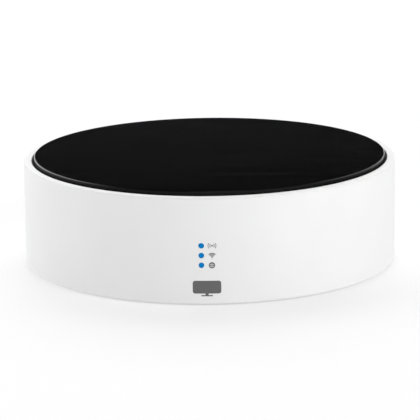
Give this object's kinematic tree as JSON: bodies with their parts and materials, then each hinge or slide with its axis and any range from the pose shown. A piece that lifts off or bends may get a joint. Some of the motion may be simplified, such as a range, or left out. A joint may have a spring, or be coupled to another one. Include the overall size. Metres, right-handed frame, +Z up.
{
  "type": "streaming media player",
  "caption": "Low round white drum with a black metal top plate in a narrow groove, blue status lights at the front and a recessed bay of sockets at the rear.",
  "frame": {"origin": "middle of the drum's footprint, at the underside of the rubber feet", "axes": "+Z up along the drum's axis; -Y towards the front with the status lights; +Y towards the socket bay; +X to the right seen from the front"},
  "size_m": [0.15, 0.15, 0.0438],
  "materials": {
    "white_plastic": "satin white moulding, smooth outside",
    "black_aluminium": "black anodised, brushed in one direction, cut chamfer left bright",
    "dark_plastic": "dark grey moulding with a fine texture",
    "foam_tape": "thin double-sided foam tape",
    "screw_steel": "zinc-plated screws",
    "foot_rubber": "soft matt rubber",
    "ballast_steel": "stamped and plated steel",
    "circuit_board": "glass-epoxy board with green solder mask",
    "chip_black": "moulded chip packages",
    "thermal_pad": "soft filled silicone",
    "sink_aluminium": "black anodised extrusion",
    "push_pin": "moulded nylon",
    "ferrite": "pressed ferrite",
    "capacitor_can": "sleeved aluminium cans",
    "tin_plate": "bright tin-plated sheet",
    "module_board": "glass-epoxy board with blue solder mask",
    "lead_black": "thin coaxial lead with a black jacket",
    "led_lens": "cast resin over a blue lamp",
    "light_guide": "clear moulding lit blue from behind",
    "ribbon": "flat flexible cable",
    "connector_ivory": "moulded ribbon sockets",
    "nickel": "bright nickel plate",
    "insulator": "white insulator",
    "gold": "gold-plated spring contacts",
    "socket_black": "moulded socket bodies",
    "printed_ink": "thin pad-printed grey ink",
    "button_black": "polished black cap"
  },
  "bodies": {
    "casing": {"outer_shell": "white_plastic", "top_plate": "black_aluminium", "top_adhesive": "foam_tape", "top_carrier": "dark_plastic", "carrier_screws": "screw_steel", "base_tray": "dark_plastic", "base_screws": "screw_steel", "foot_1": "foot_rubber", "foot_2": "foot_rubber", "foot_3": "foot_rubber", "foot_4": "foot_rubber", "ballast_ring": "ballast_steel", "port_panel": "dark_plastic", "main_board": "circuit_board", "board_screws": "screw_steel", "soc_chip": "chip_black", "thermal_pad": "thermal_pad", "heat_sink": "sink_aluminium", "heat_sink_pins": "push_pin", "memory_chips": "chip_black", "flash_chip": "chip_black", "power_inductors": "ferrite", "capacitors": "capacitor_can", "tuner_can": "tin_plate", "wifi_module": "module_board", "wifi_can": "tin_plate", "wifi_antenna_left": "circuit_board", "wifi_antenna_right": "circuit_board", "antenna_lead_left": "lead_black", "antenna_lead_right": "lead_black", "led_board": "circuit_board", "led_1": "led_lens", "led_2": "led_lens", "led_3": "led_lens", "light_guide": "light_guide", "led_ribbon": "ribbon", "ribbon_sockets": "connector_ivory", "coax_jack": "nickel", "coax_insulator": "insulator", "coax_contact": "gold", "coax_nut": "nickel", "hdmi_shell": "nickel", "hdmi_tongue": "socket_black", "usb_shell": "nickel", "usb_tongue": "socket_black", "ethernet_shell": "nickel", "ethernet_insert": "socket_black", "ethernet_contacts": "gold", "dc_jack_body": "socket_black", "dc_jack_pin": "nickel", "power_switch": "socket_black", "reset_switch": "nickel", "button_board": "circuit_board", "button_board_screws": "screw_steel", "button_ribbon": "ribbon"},
    "power_button": {"power_button": "button_black", "power_plunger": "insulator"},
    "reset_plunger": {"reset_plunger": "socket_black"}
  },
  "joints": [
    {"name": "power_press", "type": "slide", "parent": "casing", "child": "power_button", "axis": [0, -1, 0], "range_m": [0, 0.002], "stiffness_N_per_m": 600, "springref_m": -0.0003},
    {"name": "reset_press", "type": "slide", "parent": "casing", "child": "reset_plunger", "axis": [0, -1, 0], "range_m": [0, 0.00025], "stiffness_N_per_m": 2500, "springref_m": -0.0001}
  ]
}
